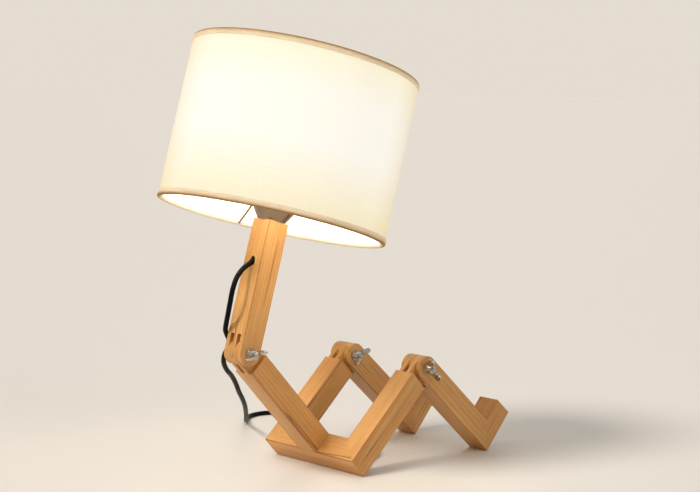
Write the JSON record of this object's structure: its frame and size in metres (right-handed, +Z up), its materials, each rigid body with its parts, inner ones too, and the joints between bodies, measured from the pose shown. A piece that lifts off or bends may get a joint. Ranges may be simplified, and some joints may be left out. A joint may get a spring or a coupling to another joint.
{
  "type": "desk lamp",
  "caption": "Posable desk lamp of square wooden bars in the form of a seated figure, with wing-nut finger joints at waist and knees and a lit drum shade for a head.",
  "frame": {"origin": "on the table, under the middle of the lamp's length and width without its cord", "axes": "+X forward, the way the seated figure faces; +Y to its left; +Z up"},
  "size_m": [0.3877, 0.346, 0.4368],
  "materials": {
    "wood": "light oiled softwood, satin",
    "zinc": "zinc plated",
    "nut": "bright plated",
    "cap": "polished",
    "holder": "black phenolic",
    "ceramic": "unglazed",
    "brass": "bare",
    "ring_nut": "satin",
    "wire": "bright wire",
    "liner": "matt film",
    "shade": "plain woven, translucent",
    "hem": "folded over the wire",
    "globe": "opal, lit",
    "collar": "smooth",
    "bulb_cap": "bright",
    "cord": "smooth black sheath",
    "switch": "fine grained black",
    "plug": "moulded black",
    "pin": "nickel plated"
  },
  "bodies": {
    "seat": {"cross_bar": "wood", "left_thigh": "wood", "right_thigh": "wood", "torso_post": "wood", "left_seat_dowels": "wood", "right_seat_dowels": "wood", "torso_screw_left": "zinc", "torso_screw_right": "zinc", "cord_fall": "cord", "switch_base": "switch", "switch_cover": "switch", "switch_screw_front": "zinc", "switch_screw_back": "zinc", "cord_run": "cord", "cord_coil": "cord", "cord_end": "cord", "plug_body": "plug", "plug_pin_left": "pin", "plug_pin_right": "pin"},
    "neck": {"neck_post": "wood", "waist_bolt": "zinc", "waist_washer": "zinc", "holder_tube": "zinc", "holder_cap": "cap", "holder_barrel": "holder", "holder_core": "ceramic", "holder_thread": "brass", "holder_contact": "brass", "shade_ring_nut": "ring_nut", "shade_spider": "wire", "shade_bottom_ring": "wire", "shade_top_ring": "wire", "shade_liner": "liner", "shade_cover": "shade", "shade_top_trim": "hem", "shade_bottom_trim": "hem", "bulb_globe": "globe", "bulb_base": "collar", "bulb_cap": "bulb_cap", "bulb_tip": "bulb_cap", "cord_inner": "cord"},
    "left_leg": {"left_shin": "wood", "left_foot": "wood", "left_foot_dowel": "wood", "left_knee_bolt": "zinc", "left_knee_washer": "zinc"},
    "right_leg": {"right_shin": "wood", "right_foot": "wood", "right_foot_dowel": "wood", "right_knee_bolt": "zinc", "right_knee_washer": "zinc"},
    "waist_nut": {"waist_wing_nut": "nut"},
    "left_knee_nut": {"left_knee_wing_nut": "nut"},
    "right_knee_nut": {"right_knee_wing_nut": "nut"},
    "rocker": {"switch_rocker": "switch"}
  },
  "joints": [
    {"name": "waist_bend", "type": "hinge", "parent": "seat", "child": "neck", "pos_m": [-0.12042, 0, 0.12624], "axis": [0, 1, 0], "range_deg": [-100, 40], "deforming": ["cord_fall"]},
    {"name": "left_knee_bend", "type": "hinge", "parent": "seat", "child": "left_leg", "pos_m": [0.0683, 0.0535, 0.09837], "axis": [0, 1, 0], "range_deg": [-100, 20]},
    {"name": "right_knee_bend", "type": "hinge", "parent": "seat", "child": "right_leg", "pos_m": [0.0683, -0.0535, 0.09837], "axis": [0, 1, 0], "range_deg": [-100, 20]},
    {"name": "waist_nut_turn", "type": "hinge", "parent": "neck", "child": "waist_nut", "pos_m": [-0.12042, -0.017, 0.12624], "axis": [0, -1, 0], "continuous": true},
    {"name": "left_knee_nut_turn", "type": "hinge", "parent": "left_leg", "child": "left_knee_nut", "pos_m": [0.0683, 0.0365, 0.09837], "axis": [0, -1, 0], "continuous": true},
    {"name": "right_knee_nut_turn", "type": "hinge", "parent": "right_leg", "child": "right_knee_nut", "pos_m": [0.0683, -0.0705, 0.09837], "axis": [0, -1, 0], "continuous": true},
    {"name": "switch_rock", "type": "hinge", "parent": "seat", "child": "rocker", "pos_m": [0.088, 0.154, 0.0112], "axis": [-0.788, 0.6157, 0], "range_deg": [-16, 0]}
  ]
}
